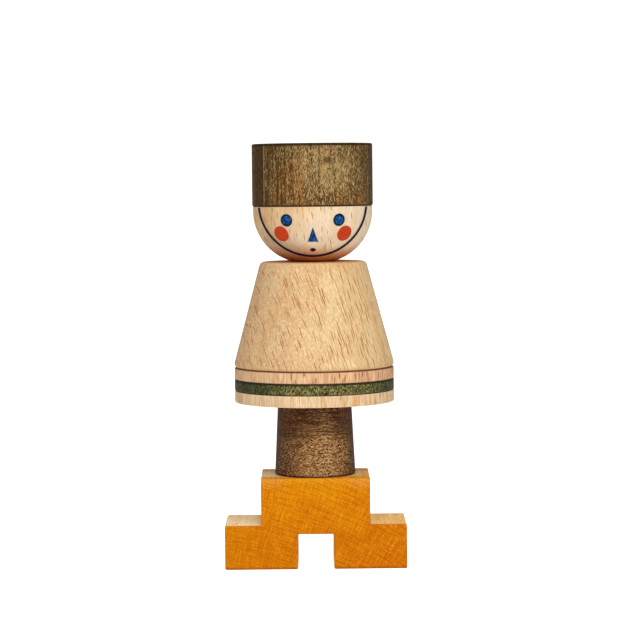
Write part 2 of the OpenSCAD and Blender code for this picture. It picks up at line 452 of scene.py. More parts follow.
# %% A group for the rays
def in_cells(tree, place, across, out, along):
    """Divides a place by the size of a cell, so that a texture of scale 1 has cells of that size."""
    cell = add(tree, "CombineXYZ", {0: across, 1: out, 2: along}).outputs[0]
    return vectors(tree, "DIVIDE", place, cell)


def noise(tree, cells, detail):
    """Noise with features about as large as the cells."""
    return add(tree, "TexNoise", {"Vector": cells, "Scale": 1.0, "Detail": detail}).outputs["Fac"]


def swayed(tree, place, scale, amount):
    """Shifts a place by a slow noise, which bends the lines of the texture that reads it."""
    sway = add(tree, "TexNoise", {"Vector": place, "Scale": scale, "Detail": 1.0}).outputs["Color"]
    sway = vectors(tree, "SUBTRACT", sway, (0.5, 0.5, 0.5))
    sway = add(tree, "VectorMath", {0: sway, "Scale": amount}, operation="SCALE").outputs[0]
    return vectors(tree, "ADD", place, sway)


rays, takes, gives = new_group(
    "rays",
    {
        "Log": None, "Width": 0.0005, "Gap": 1.0, "Depth": 0.006, "Length": 0.003, "Share": 0.12,
        "Sway": 0.0006,
    },
    ["Mask"],
)
tree = rays
place = swayed(tree, takes["Log"], 160.0, takes["Sway"])
wide = times(tree, takes["Width"], takes["Gap"])
place = in_cells(tree, place, wide, takes["Depth"], takes["Length"])
cells = add(tree, "TexVoronoi", {"Vector": place, "Scale": 1.0}).outputs
chance, depth, _ = add(tree, "SeparateColor", {0: cells["Color"]}).outputs
filled = sums(tree, "LESS_THAN", chance, takes["Share"])
away = vectors(tree, "SUBTRACT", place, cells["Position"])
squeeze = add(tree, "CombineXYZ", {0: takes["Gap"], 1: 1.0, 2: 1.0}).outputs[0]
away = vectors(tree, "MULTIPLY", away, squeeze)
far = add(tree, "VectorMath", {0: away}, operation="LENGTH").outputs["Value"]
dash = times(tree, filled, ramp(tree, far, 0.55, 0.35))
tree.links.new(times(tree, dash, ramp(tree, depth, 0.0, 1.0, 0.45, 1.0)), gives["Mask"])

# %% A group for the rings
rings, takes, gives = new_group("rings", {"Log": None, "Spacing": 0.003, "Sway": 0.6}, ["Line", "Tone"])
tree = rings
out = split(tree, takes["Log"])[1]
place = in_cells(tree, takes["Log"], 0.02, 0.005, 0.08)
drift = noise(tree, place, 2.0)
year = sums(tree, "DIVIDE", out, takes["Spacing"])
year = sums(tree, "MULTIPLY_ADD", drift, takes["Sway"], year)
growth = sums(tree, "FRACT", year)
tree.links.new(ramp(tree, growth, 0.66, 0.94), gives["Line"])
tree.links.new(growth, gives["Tone"])

# %% [markdown]
# Two more patterns are slow and fast. Streaks are soft changes of tone drawn out along the fibres.
# The fibres themselves are the finest thing that the eye sees: short flecks, each a little lighter or
# darker than the next. They make stained wood look like wood and not like paint. Near a knot they
# tumble in all directions.

# %% Groups for streaks and fibres
streaks, takes, gives = new_group(
    "streaks", {"Log": None, "Width": 0.004, "Length": 0.05, "Detail": 3.0}, ["Value"]
)
tree = streaks
place = in_cells(tree, takes["Log"], takes["Width"], takes["Width"], takes["Length"])
tree.links.new(ramp(tree, noise(tree, place, takes["Detail"]), 0.33, 0.67), gives["Value"])

fibres, takes, gives = new_group(
    "fibres",
    {"Vector": None, "Width": 0.0004, "Depth": 0.0004, "Length": 0.001, "Tumble": 0.0002},
    ["Value"],
)
tree = fibres
place = swayed(tree, takes["Vector"], 420.0, takes["Tumble"])
place = in_cells(tree, place, takes["Width"], takes["Depth"], takes["Length"])
cells = add(tree, "TexVoronoi", {"Vector": place, "Scale": 1.0}).outputs
chance = add(tree, "SeparateColor", {0: cells["Color"]}).outputs[0]
shade = sums(tree, "MULTIPLY_ADD", chance, 2.0, -1.0)
fleck = times(tree, shade, ramp(tree, cells["Distance"], 1.0, 0.4))
tree.links.new(fleck, gives["Value"])
print("groups:", [g.name for g in bpy.data.node_groups])

# %% [markdown]
# ## Bare beech
#
# Streaks and rings mix a pale wood with a deeper one, the rays are laid on top in red-brown, and the
# fibres shade it all finely: the dark ones lean towards the colour of the rays. Where a face cuts
# across the fibres, as under the head and on top of the body, their open ends drink the oil and the
# wood turns a deeper gold. The same patterns give the height of a very slight relief, because rays
# and pores stand a little below a sanded surface.

# %% A group for bare beech
RAY_DEPTH, LONG_RAY = 0.004, 2.6
bare_wood, takes, gives = new_group(
    "bare_wood",
    {
        "Vector": None, "Log": None, "Pale": colour(238, 206, 158), "Deep": colour(228, 188, 136),
        "Ray": colour(176, 98, 52), "Ray width": 0.00038, "Ray length": 0.0055, "Ray share": 0.3,
        "Ray gap": 1.0, "Ray strength": 0.85, "Long share": 0.03, "Streak width": 0.006,
        "Ring spacing": 0.0035, "Ring strength": 0.06, "Ring line": 0.0, "Fibre width": 0.0003,
        "Fibre length": 0.002, "Fibre strength": 0.2, "Edge": 0.0, "Edge colour": colour(242, 214, 178),
        "End": 0.0, "End colour": colour(206, 146, 88), "End strength": 0.7,
    },
    ["Color", "Height"],
)
tree = bare_wood
slow = use(tree, streaks, {"Log": takes["Log"], "Width": takes["Streak width"]})["Value"]
ring = use(tree, rings, {"Log": takes["Log"], "Spacing": takes["Ring spacing"]})
fine = use(tree, fibres, {
    "Vector": takes["Vector"], "Width": takes["Fibre width"], "Depth": takes["Fibre width"],
    "Length": takes["Fibre length"],
})["Value"]
short = use(tree, rays, {
    "Depth": RAY_DEPTH, "Log": takes["Log"], "Width": takes["Ray width"], "Length": takes["Ray length"],
    "Share": takes["Ray share"], "Gap": takes["Ray gap"],
})["Mask"]
long = use(tree, rays, {
    "Log": takes["Log"], "Width": takes["Ray width"], "Share": takes["Long share"], "Sway": 0.001,
    "Length": times(tree, takes["Ray length"], LONG_RAY),
})["Mask"]
both = sums(tree, "MAXIMUM", short, long)

# %% Mix the colours of bare beech
wood = mixed(tree, slow, takes["Pale"], takes["Deep"])
wood = mixed(tree, times(tree, ring["Tone"], takes["Ring strength"]), wood, takes["Ray"])
golden = times(tree, ring["Line"], takes["Ring line"])
wood = mixed(tree, golden, wood, takes["End colour"])
across_fibres = times(tree, ramp(tree, takes["End"], 0.58, 1.0), takes["End strength"])
wood = mixed(tree, across_fibres, wood, takes["End colour"])
wood = mixed(tree, times(tree, both, takes["Ray strength"]), wood, takes["Ray"])
wood = mixed(tree, times(tree, takes["Edge"], 0.6), wood, takes["Edge colour"])
dull = times(tree, ramp(tree, fine, 0.0, -0.9), takes["Fibre strength"])
wood = mixed(tree, dull, wood, takes["Ray"])
light = sums(tree, "MULTIPLY_ADD", sums(tree, "MAXIMUM", fine, 0.0), takes["Fibre strength"], 1.0)
tree.links.new(add(tree, "HueSaturation", {"Color": wood, "Value": light}).outputs[0], gives["Color"])
dip = sums(tree, "MULTIPLY_ADD", both, -1.0, times(tree, fine, 0.4))
tree.links.new(dip, gives["Height"])
print("bare_wood:", len(tree.nodes), "nodes")

# %% [markdown]
# ## Stained wood
#
# Stain soaks into beech unevenly: fibre ends drink it and go dark, the hard walls between stay light.
# So a stained block is not one colour but four. Streaks and rings mix a middle tone with a dark one,
# the fibres throw in light and dark flecks, and where the stain is thin a warmer tone shows. At the
# rounded edges the stain has been rubbed, and the bare wood comes through in specks.

# %% A group for stained wood
stained_wood, takes, gives = new_group(
    "stained_wood",
    {
        "Vector": None, "Log": None, "Light": colour(200, 160, 100), "Middle": colour(140, 106, 62),
        "Dark": colour(58, 42, 24), "Warm": colour(176, 112, 48), "Warmth": 0.0, "Glow": 0.0,
        "Gloom": 0.0, "Streak width": 0.003, "Streak length": 0.05, "Streak strength": 0.6,
        "Ring spacing": 0.004, "Ring strength": 0.3, "Fibre width": 0.0004, "Fibre depth": 0.0004,
        "Fibre length": 0.001, "Fibre strength": 0.6, "Tumble": 0.0002, "Ray share": 0.1,
        "Ray strength": 0.4, "Edge": 0.0, "End": 0.0, "Rub": 0.3, "Bare": colour(214, 178, 128),
    },
    ["Color", "Height"],
)
tree = stained_wood
slow = use(tree, streaks, {
    "Log": takes["Log"], "Width": takes["Streak width"], "Length": takes["Streak length"],
    "Detail": 4.0,
})["Value"]
ring = use(tree, rings, {"Log": takes["Log"], "Spacing": takes["Ring spacing"]})
fine = use(tree, fibres, {
    "Vector": takes["Vector"], "Width": takes["Fibre width"], "Depth": takes["Fibre depth"],
    "Length": takes["Fibre length"], "Tumble": takes["Tumble"],
})["Value"]
dash = use(tree, rays, {"Log": takes["Log"], "Share": takes["Ray share"]})["Mask"]

# %% Mix the colours of stained wood
wood = mixed(tree, takes["Warmth"], takes["Middle"], takes["Warm"])
wood = mixed(tree, times(tree, slow, takes["Streak strength"]), wood, takes["Dark"])
wood = mixed(tree, times(tree, ring["Line"], takes["Ring strength"]), wood, takes["Dark"])
wood = mixed(tree, times(tree, dash, takes["Ray strength"]), wood, takes["Dark"])
# Glow and Gloom lighten and darken by masks that each block passes in: some mark grain, some are
# painted light and shade.
wood = mixed(tree, takes["Glow"], wood, takes["Light"])
wood = mixed(tree, takes["Gloom"], wood, takes["Dark"])
bright = times(tree, ramp(tree, fine, 0.0, 0.8), takes["Fibre strength"])
bright = times(tree, bright, sums(tree, "SUBTRACT", 1.0, takes["Gloom"]))
wood = mixed(tree, bright, wood, takes["Light"])
dull = times(tree, ramp(tree, fine, 0.0, -0.8), takes["Fibre strength"])
wood = mixed(tree, dull, wood, takes["Dark"])
worn = ramp(tree, sums(tree, "MULTIPLY_ADD", fine, 0.7, takes["Edge"]), 1.0, 1.5)
wood = mixed(tree, times(tree, worn, takes["Rub"]), wood, takes["Bare"])
tree.links.new(wood, gives["Color"])
tree.links.new(sums(tree, "MULTIPLY_ADD", dash, -0.6, fine), gives["Height"])
print("stained_wood:", len(tree.nodes), "nodes")

# %% [markdown]
# ## From a pattern to a material
#
# Every wood here ends the same way: the pattern's colour goes to the Principled shader, its height to
# a Bump node, and the roughness follows the height a little, because the hollows are duller. Each
# block was cut from a different place in a log, so each gets its own fibre direction and its own
# distance from the trunk's middle. Where two blocks meet, a painted contact shadow darkens the
# rounded edges. It stays off the flat faces, because they show when the doll is taken apart.


# %% Helpers for the materials
def new_material(name):
    """An empty material and its node tree."""
    material = bpy.data.materials.new(name)
    material.use_nodes = True
    material.node_tree.nodes.clear()
    return material, material.node_tree


def new_wood(name, turn, heart):
    """A material whose wood lies in the log in its own way. Gives what every wood group reads."""
    material, tree = new_material(name)
    place = add(tree, "TexCoord").outputs["Object"]
    plain, log = log_space(tree, turn, heart)
    marks = {"Vector": plain, "Log": log}
    for label in ("Edge", "End"):
        marks[label] = add(tree, "Attribute", attribute_name=label.lower()).outputs["Fac"]
    return material, tree, place, marks


def close_material(tree, base, height, rough=(0.55, 0.7), relief=0.00004, gloss=0.15):
    """Ends a node tree: colour and height go to the shader. The relief is in metres."""
    bump = add(tree, "Bump", {"Height": height, "Strength": 1.0, "Distance": relief}).outputs[0]
    shader = add(tree, "BsdfPrincipled", {
        "Base Color": base, "Roughness": ramp(tree, height, 0.6, -1.2, *rough), "Normal": bump,
        "Specular IOR Level": gloss,
    })
    tree.links.new(shader.outputs[0], add(tree, "OutputMaterial").inputs[0])


def on_side(tree, marks, amount, flat=0.998, upright=0.97):
    """Keeps an amount off the flat top and bottom of a block whose fibres stand upright."""
    return times(tree, amount, ramp(tree, marks["End"], flat, upright))


def most(tree, *values):
    """The largest of several values."""
    largest = values[0]
    for value in values[1:]:
        largest = sums(tree, "MAXIMUM", largest, value)
    return largest


def streaked(tree, log, width, length, detail):
    """Streaks with a width and a length in metres."""
    return use(tree, streaks, {"Log": log, "Width": width, "Length": length, "Detail": detail})["Value"]


def dress(piece, material):
    """Gives a piece its only material."""
    piece.data.materials.clear()
    piece.data.materials.append(material)
    print(piece.name, "wears", material.name, "with", len(material.node_tree.nodes), "nodes")


# %% [markdown]
# ## The bare blocks
#
# The body is cut a little askew in the log, so its rays slant: fewer but longer ones on the left,
# many on the right, and its tones are painted darker on the left as shade. The head is the palest
# wood with the fewest marks, painted darker and warmer towards the upper left as shade. Under it the
# cut fibres are painted a deep orange, which stands both for end grain and for the shade and warm
# light bounced up from the body, with a painted shadow on the chin and a painted contact shadow at
# its foot. The discs are thin slices, so their narrow rims show the fibres as short upright lines:
# the upper one is pinkish, with more marks towards the right, and the lower one is pale with a gold
# patch.

# %% Wood for the body
material, tree, place, marks = new_wood("beech_body", (0, -13, 0), (-35, 75, 100))
x, _, z = split(tree, place)
rightward = ramp(tree, x, -20 * MM, 20 * MM)
# The pale and deep tones are painted darker towards the left, as shade, since the light comes from the
# right.
wood = use(tree, bare_wood, {
    **marks, "Pale": mixed(tree, rightward, colour(217, 183, 137), colour(228, 198, 149)),
    "Deep": mixed(tree, rightward, colour(212, 174, 127), colour(223, 189, 138)),
    "Ray": mixed(tree, rightward, colour(168, 92, 40), colour(150, 76, 22)),
    "Ray width": 0.00029, "Ray gap": 2.6, "Ray length": 0.0068,
    "Ray share": ramp(tree, rightward, 0.2, 1.0, 0.5, 0.85),
    "Ray strength": ramp(tree, rightward, 0.1, 0.8, 0.86, 0.95),
    "Long share": ramp(tree, rightward, 0.5, 0.2, 0.05, 0.1),
    "Ring spacing": 0.006, "Ring line": 0.16, "Fibre width": 0.00026,
    "Fibre strength": ramp(tree, rightward, 0.0, 1.0, 0.34, 0.24),
    "Edge colour": colour(226, 186, 132), "End colour": colour(204, 146, 84),
})
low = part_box("body")[0].z
# Painted contact shadow: the bottom rim darkens where the body stands on the upper disc.
painted_edge_shade = on_side(tree, marks, ramp(tree, z, low + 0.55 * MM, low + 0.15 * MM, 0.0, 0.9))
base = mixed(tree, painted_edge_shade, wood["Color"], colour(132, 50, 4))
close_material(tree, base, wood["Height"])
dress(body, material)

# %% Wood for the head and the peg
material, tree, place, marks = new_wood("beech_head", (0, -4, 0), (10, 80, 130))
x, _, z = split(tree, place)
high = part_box("head")[1].z
# Pale and deep are painted darker and warmer towards the upper left, as shade, since the light comes
# from the right.
slope = sums(tree, "MULTIPLY_ADD", sums(tree, "SUBTRACT", high, z), 1.3, x)
rightward = ramp(tree, slope, -14 * MM, 16 * MM)
# Under the bowl the end grain is painted a deep orange, which also stands for the shade and the warm
# light bounced up from the body.
under = mixed(tree, ramp(tree, x, -10 * MM, 8 * MM), colour(216, 94, 12), colour(222, 136, 64))
upward = ramp(tree, z, high - 8 * MM, high - 4 * MM)
wood = use(tree, bare_wood, {
    **marks, "Pale": mixed(tree, rightward, colour(226, 192, 146), colour(236, 212, 180)),
    "Deep": mixed(tree, rightward, colour(216, 174, 124), colour(231, 203, 168)),
    "Ray": colour(160, 104, 56), "Ray width": 0.0003, "Ray length": 0.0035,
    "Ray share": ramp(tree, x, -10 * MM, 16 * MM, 0.2, 0.03), "Ray strength": 0.9,
    "Long share": 0.0, "Ring strength": 0.03, "Streak width": 0.003, "Fibre strength": 0.1,
    "End colour": mixed(tree, upward, under, colour(210, 164, 114)), "End strength": 0.95,
})
# Painted shadow: the chin darkens, low on the left.
chin = patch(tree, place, (-13, -12, head_foot / MM + 5), (17, 16, 11))
base = mixed(tree, times(tree, chin, 0.42), wood["Color"], colour(144, 90, 44))
# Painted contact shadow: the bottom millimetre darkens where the head sits on the body.
foot = on_side(tree, marks, ramp(tree, z, head_foot + 1.0 * MM, head_foot, 0.0, 0.75), 0.995, 0.97)
base = mixed(tree, foot, base, colour(66, 22, 8))
close_material(tree, base, wood["Height"])
dress(head, material)

material, tree, place, marks = new_wood("beech_peg", (0, 0, 0), (40, 60, 90))
wood = use(tree, bare_wood, marks)
close_material(tree, wood["Color"], wood["Height"])
dress(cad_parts["peg"], material)

# %% Wood for the two bare discs
material, tree, place, marks = new_wood("beech_upper_disc", (0, 0, 0), (-60, 40, 75))
x, _, z = split(tree, place)
rightward = ramp(tree, x, -26 * MM, 24 * MM)
wood = use(tree, bare_wood, {
    **marks, "Pale": mixed(tree, rightward, colour(226, 190, 147), colour(230, 189, 146)),
    "Deep": mixed(tree, rightward, colour(216, 172, 128), colour(213, 161, 116)),
    "Ray": colour(146, 70, 36), "Ray width": 0.00038, "Ray length": 0.004,
    "Ray share": ramp(tree, x, -18 * MM, 16 * MM, 0.08, 0.42), "Streak width": 0.0012,
    "Fibre strength": 0.26, "Fibre length": 0.003,
})
low, high = (c.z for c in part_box("upper_disc"))
# Painted contact shadow: both rims darken where the disc meets the green disc below and the body above.
under = ramp(tree, z, low + 0.45 * MM, low + 0.2 * MM)
over = ramp(tree, z, high - 0.4 * MM, high - 0.15 * MM)
painted_edge_shades = on_side(tree, marks, most(tree, under, over))
base = mixed(tree, times(tree, painted_edge_shades, 0.85), wood["Color"], colour(112, 46, 8))
close_material(tree, base, wood["Height"])
dress(upper_disc, material)

material, tree, place, marks = new_wood("beech_lower_disc", (0, 0, 0), (60, 50, 68))
x = split(tree, place)[0]
lines = ramp(tree, streaked(tree, marks["Log"], 0.0007, 0.008, 1.0), 0.62, 0.9)
lines = times(tree, lines, ramp(tree, x, -14 * MM, 8 * MM, 0.15, 0.5))
wood = use(tree, bare_wood, {
    **marks, "Pale": colour(232, 206, 166), "Deep": colour(219, 184, 140), "Ray share": 0.09,
    "Streak width": 0.002, "Fibre strength": 0.22, "Fibre length": 0.003,
})
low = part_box("lower_disc")[0].z / MM
gold = patch(tree, place, (16.4, -28, low + 2), (2.2, 4, 4))
base = mixed(tree, lines, wood["Color"], colour(198, 140, 86))
base = mixed(tree, times(tree, gold, 0.5), base, colour(226, 158, 78))
close_material(tree, base, wood["Height"])
dress(lower_disc, material)

# %% [markdown]
# ## The stained blocks
#
# The leg was turned with its fibres lying from front to back, so its front shows their open ends: a
# grain like fine gravel, dark bands near the top, and small arcs of gold where the fibres bulge round
# the base of a twig. Its top is also painted darker as the shadow of the discs, its sides darker as
# shade, and its lower middle lighter as light. The hat's fibres stand upright. Its sides and rims are
# painted dark as shade, with a bright line where the painted shade of the sides ends, its right side
# is painted darker and the middle of its front lighter, the left is streaked with orange, and there is
# a knot on the right, high up. The green disc has a dark drop and a bald place on its rim, and its
# edges carry a painted contact shadow where the discs meet.

# %% Stain for the leg
TWIG_X, ARC_STEP = 4.3, 1.45
material, tree, place, marks = new_wood("stained_leg", (90, 0, 0), (4, 0, -120))
x, _, z = split(tree, place)
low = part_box("leg")[0].z
# The upper part is painted darker with banded grain, which stands both for dark bands in the wood and
# for the shadow that the discs cast on the leg.
upper = ramp(tree, z, low + 14 * MM, low + 17.5 * MM)
flat_cells = in_cells(tree, place, 0.012, 0.012, 0.0005)
bands = noise(tree, flat_cells, 3.0)
bands = times(tree, ramp(tree, bands, 0.4, 0.62), ramp(tree, upper, 0.0, 1.0, 0.12, 0.6))
# Painted shade: the sides, turned away from the front, are darker.
turned_away = sums(tree, "SUBTRACT", 1.0, ramp(tree, marks["End"], 0.2, 0.75))
gloom = most(tree, bands, times(tree, turned_away, 0.55))
aside = sums(tree, "SUBTRACT", x, TWIG_X * MM)
bulge = sums(tree, "MULTIPLY_ADD", sums(tree, "POWER", aside, 2.0), 100.0, z)
arcs = sums(tree, "FRACT", sums(tree, "DIVIDE", bulge, ARC_STEP * MM))
arcs = times(tree, ramp(tree, arcs, 0.5, 0.8), ramp(tree, arcs, 1.0, 0.85))
arcs = times(tree, arcs, patch(tree, place, (TWIG_X, -16, low / MM + 11), (5.4, 10, 19)))
# Painted light: the Middle tone is lighter low in the middle of the front.
middle = patch(tree, place, (2.5, -16, low / MM + 5), (16, 14, 24))
patches = streaked(tree, place, 0.002, 0.002, 2.0)
gravel = ramp(tree, patch(tree, place, (5, -16, low / MM + 10), (15, 18, 26)), 0.0, 1.0, 0.62, 1.1)
wood = use(tree, stained_wood, {
    **marks, "Light": colour(214, 166, 110),
    "Middle": mixed(tree, middle, colour(79, 48, 20), colour(155, 110, 57)),
    "Dark": colour(40, 20, 6), "Warm": colour(142, 84, 42),
    "Warmth": times(tree, patches, 0.35), "Glow": arcs, "Gloom": gloom,
    "Streak width": 0.004, "Streak strength": 0.2, "Fibre depth": 0.0003, "Fibre length": 0.0005,
    "Fibre width": ramp(tree, upper, 0.0, 1.0, 0.00045, 0.001),
    "Fibre strength": times(tree, ramp(tree, upper, 0.0, 1.0, 0.95, 0.48), gravel),
    "Ring strength": 0.2, "Rub": 0.1,
})
# Painted contact shadow: the foot of the leg darkens where it stands on the feet.
painted_edge_shade = ramp(tree, z, low + 1.1 * MM, low + 0.4 * MM, 0.0, 0.7)
close_material(tree, mixed(tree, painted_edge_shade, wood["Color"], colour(38, 20, 8)), wood["Height"])
dress(leg, material)

# %% Stain for the green disc
material, tree, place, marks = new_wood("stained_green", (0, 0, 0), (10, 60, 72))
low, high = (c.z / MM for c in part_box("green_disc"))
middle = patch(tree, place, (7, -32, low + 2), (33, 30, 30))
drop = patch(tree, place, (4.5, -32, low + 0.8), (1.2, 3, 0.8))
bald = patch(tree, place, (-9, -31, low + 0.8), (2.6, 3, 0.9))
z = split(tree, place)[2]
# Painted contact shadow: the top rim and both rounded edges darken where the discs meet.
rim = on_side(tree, marks, ramp(tree, z, (high - 0.9) * MM, (high - 0.5) * MM))
gloom = most(tree, drop, times(tree, most(tree, marks["Edge"], rim), 0.9))
wood = use(tree, stained_wood, {
    **marks, "Light": mixed(tree, middle, colour(102, 106, 64), colour(168, 158, 98)),
    "Middle": mixed(tree, middle, colour(56, 60, 32), colour(98, 91, 46)), "Dark": colour(34, 34, 8),
    "Warm": colour(160, 116, 50), "Warmth": bald, "Gloom": gloom, "Streak width": 0.0015,
    "Streak strength": 0.2, "Fibre length": 0.0007, "Fibre strength": 0.8, "Ring strength": 0.1,
    "Rub": 0.0,
})
close_material(tree, wood["Color"], wood["Height"])
dress(green_disc, material)

# %% Where the hat is dark, light or warm
ASKEW, STRIP = -0.122, -12.5
material, tree, place, marks = new_wood("stained_hat", (0, 0, 0), (0, 260, 155))
x, y, z = split(tree, place)
low, high = (c.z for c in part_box("hat"))
depth = sums(tree, "MULTIPLY_ADD", x, ASKEW, y)
# Painted shade: the sides darken, and a bright line runs where that painted shade ends.
side = ramp(tree, depth, STRIP * MM, (STRIP + 0.3) * MM)
side = times(tree, side, ramp(tree, depth, 0.0, -6 * MM))
line = ramp(tree, depth, (STRIP - 0.4) * MM, (STRIP - 0.1) * MM)
line = times(tree, line, ramp(tree, depth, (STRIP + 0.2) * MM, STRIP * MM))
leftward = ramp(tree, x, 0.0, -18 * MM)
upright = ramp(tree, streaked(tree, marks["Log"], 0.0009, 0.02, 2.0), 0.4, 0.9)
upright = times(tree, upright, ramp(tree, leftward, 0.0, 1.0, 0.25, 0.7))
corner = times(tree, patch(tree, place, (23, -14, high / MM - 6), (9, 14, 12)), 0.6)
knot = patch(tree, place, (6.6, -23.5, 164), (11, 12, 10))
knot_core = times(tree, patch(tree, place, (6.2, -23.5, 163.6), (3.3, 5, 2.2)), 0.85)
# Painted shade on the rounded rims and the top edge, weaker at the very top.
brim = most(tree, marks["Edge"], ramp(tree, z, high - 1.2 * MM, high - 0.9 * MM))
brim = times(tree, brim, ramp(tree, z, high - 0.1 * MM, high - 0.3 * MM, 0.25, 1.0))
# Of the gloom, the right side, the sides and the rims are painted shade. The streaks and the knot are
# dark wood, and the hat also darkens at the top right and towards the bottom.
gloom = most(
    tree, upright, corner, knot_core, ramp(tree, x, 14 * MM, 22 * MM, 0.0, 0.5),
    ramp(tree, z, low + 7 * MM, low + 1 * MM, 0.0, 0.22), times(tree, side, 0.78),
    times(tree, brim, 0.85),
)
orange = most(
    tree, patch(tree, place, (-8, -22, 150), (10, 14, 19)),
    patch(tree, place, (6.6, -23.5, 166.8), (3, 6, 2.4)),
    ramp(tree, z, low + 9 * MM, low + 1 * MM, 0.0, 0.75),
)
warm = times(tree, orange, streaked(tree, marks["Log"], 0.0016, 0.012, 3.0))
# Painted light: the middle of the front is lighter.
bright = patch(tree, place, (6.5, -23, low / MM + 15), (17, 20, 12))
tone = mixed(tree, bright, colour(130, 96, 47), colour(183, 149, 90))
print("masks for the hat:", len(tree.nodes), "nodes")

# %% Stain for the hat
wood = use(tree, stained_wood, {
    **marks, "Light": colour(200, 171, 120),
    "Middle": mixed(tree, leftward, tone, colour(106, 75, 32)), "Dark": colour(58, 38, 12),
    "Warm": colour(164, 98, 34), "Warmth": warm, "Glow": times(tree, line, 0.5),
    "Gloom": gloom, "Streak width": 0.0018, "Streak strength": 0.65,
    "Fibre width": 0.00024, "Fibre depth": 0.00024, "Fibre length": 0.0009,
    "Fibre strength": ramp(tree, leftward, 0.0, 1.0, 0.8, 0.5),
    "Tumble": ramp(tree, knot, 0.0, 1.0, 0.0003, 0.003),
    "Ring spacing": 0.0028, "Ring strength": 0.2, "Rub": 0.25,
})
# Painted contact shadow: the bottom rim darkens where the hat sits on the head, and the painted shade
# of the rims is added.
painted_edge_shade = on_side(tree, marks, ramp(tree, z, low + 0.9 * MM, low + 0.3 * MM, 0.0, 0.7))
painted_edge_shade = most(tree, times(tree, brim, 0.7), painted_edge_shade)
close_material(tree, mixed(tree, painted_edge_shade, wood["Color"], colour(34, 22, 8)), wood["Height"], gloss=0.08)
dress(hat, material)

# %% [markdown]
# The feet are the exception. The moulding they were cut from was bare, and only the two sawn faces
# were stained, so the steps' tops still show pale beech with streaks from front to back. One material
# holds both woods, and the distance from the middle of the block says where the stain begins. On top
# of the ankle it has seeped further in. The orange is deeper on the toes, and thin lines run along the
# rings and across them like a weave, which is how cut beech looks when its rays drink more stain.

# %% The orange of the sawn faces
FAR = 1000
material, tree, place, marks = new_wood("stained_feet", (90, 0, 0), (-64, 0, -150))
x, y, z = split(tree, place)
sunny = patch(tree, place, (2, 0, tall / MM), (26, FAR, 11))
warmth = sums(tree, "MULTIPLY_ADD", streaked(tree, place, 0.012, 0.012, 2.0), 0.4, 0.3)
warmth = sums(tree, "MULTIPLY_ADD", ramp(tree, x, 8 * MM, 30 * MM), 0.35, warmth)
warmth = times(tree, warmth, sums(tree, "SUBTRACT", 1.0, times(tree, sunny, 0.8)))
toes = ramp(tree, z, tall - 6 * MM, 6 * MM)
toes = times(tree, toes, ramp(tree, x, -20 * MM, 20 * MM, 0.32, 0.22))
rings_show = ramp(tree, x, -12 * MM, 14 * MM, 0.2, 0.46)
orange = use(tree, stained_wood, {
    **marks, "Light": colour(255, 182, 40), "Middle": colour(226, 140, 0), "Dark": colour(172, 80, 0),
    "Warm": colour(215, 114, 0), "Warmth": warmth, "Gloom": toes, "Bare": colour(222, 150, 96),
    "Streak width": 0.004, "Streak strength": 0.1, "Fibre width": 0.0003, "Fibre depth": 0.0003,
    "Fibre length": 0.0003, "Fibre strength": 0.3, "Ring spacing": 0.0024, "Ring strength": rings_show,
    "Ray strength": 0.0, "Rub": 0.35,
})

# %% A fine weave over the orange
LINE_L, LINE_W, WEAVE = 0.007, 0.00025, 0.46
lines = []
for across, out in ((LINE_L, LINE_W), (LINE_W, LINE_L)):
    cells = in_cells(tree, marks["Log"], across, out, 0.004)
    lines.append(noise(tree, cells, 1.0))
weave = sums(tree, "ADD", *lines)
woven = mixed(tree, ramp(tree, weave, 1.0, 0.7, 0.0, WEAVE), orange["Color"], colour(172, 80, 0))
woven = mixed(tree, ramp(tree, weave, 1.0, 1.3, 0.0, WEAVE), woven, colour(255, 182, 28))
corners = [(side * 18, -half_d / MM, tall / MM - 2) for side in (-1, 1)]
rubbed = sums(tree, "ADD", *[patch(tree, place, corner, (8, 6, 2.8)) for corner in corners])
woven = mixed(tree, times(tree, rubbed, 0.12), woven, colour(226, 166, 110))
# Painted highlight: the orange lightens along the top of the sawn faces.
painted_highlight = times(tree, ramp(tree, z, tall - 2.6 * MM, tall - 0.6 * MM), 0.2)
woven = mixed(tree, painted_highlight, woven, colour(255, 190, 64))
print("the orange:", len(tree.nodes), "nodes")

# %% Bare steps between the stained faces
rightward = ramp(tree, x, -24 * MM, 24 * MM)
# Painted light: the bare beech of the steps is lighter than on the other blocks, to make up for the
# shade of the discs above.
pale = use(tree, bare_wood, {
    **marks, "End": 0.0, "Pale": mixed(tree, rightward, colour(255, 238, 198), colour(255, 222, 148)),
    "Deep": mixed(tree, rightward, colour(255, 222, 168), colour(248, 194, 110)),
    "Ring spacing": 0.0026, "Ring strength": 0.12, "Ray strength": 0.2, "Long share": 0.0,
    "Streak width": 0.002, "Edge colour": colour(250, 220, 160),
})
depth = sums(tree, "MULTIPLY_ADD", orange["Height"], 0.2 * MM, sums(tree, "ABSOLUTE", y))
seep = ramp(tree, z, tall - 0.8 * MM, tall - 0.2 * MM, 0.6, 11.0)
step = ramp(tree, sums(tree, "ABSOLUTE", sums(tree, "SUBTRACT", z, toe_top)), 0.8 * MM, 0.3 * MM)
seep = sums(tree, "MULTIPLY_ADD", times(tree, step, rightward), 2.2, seep)
sawn = times(tree, sums(tree, "SUBTRACT", half_d - 0.4 * MM, depth), -1 / MM)
sawn = ramp(tree, sums(tree, "DIVIDE", sawn, seep), -1.0, 0.0)
base = mixed(tree, sawn, pale["Color"], woven)
# Painted contact shadow: the bottom edge darkens where the block stands on the floor.
sole = ramp(tree, z, 1.6 * MM, 0.2 * MM, 0.0, 0.5)
base = mixed(tree, sole, base, colour(140, 70, 20))
close_material(tree, base, orange["Height"], gloss=0.03)
dress(feet, material)

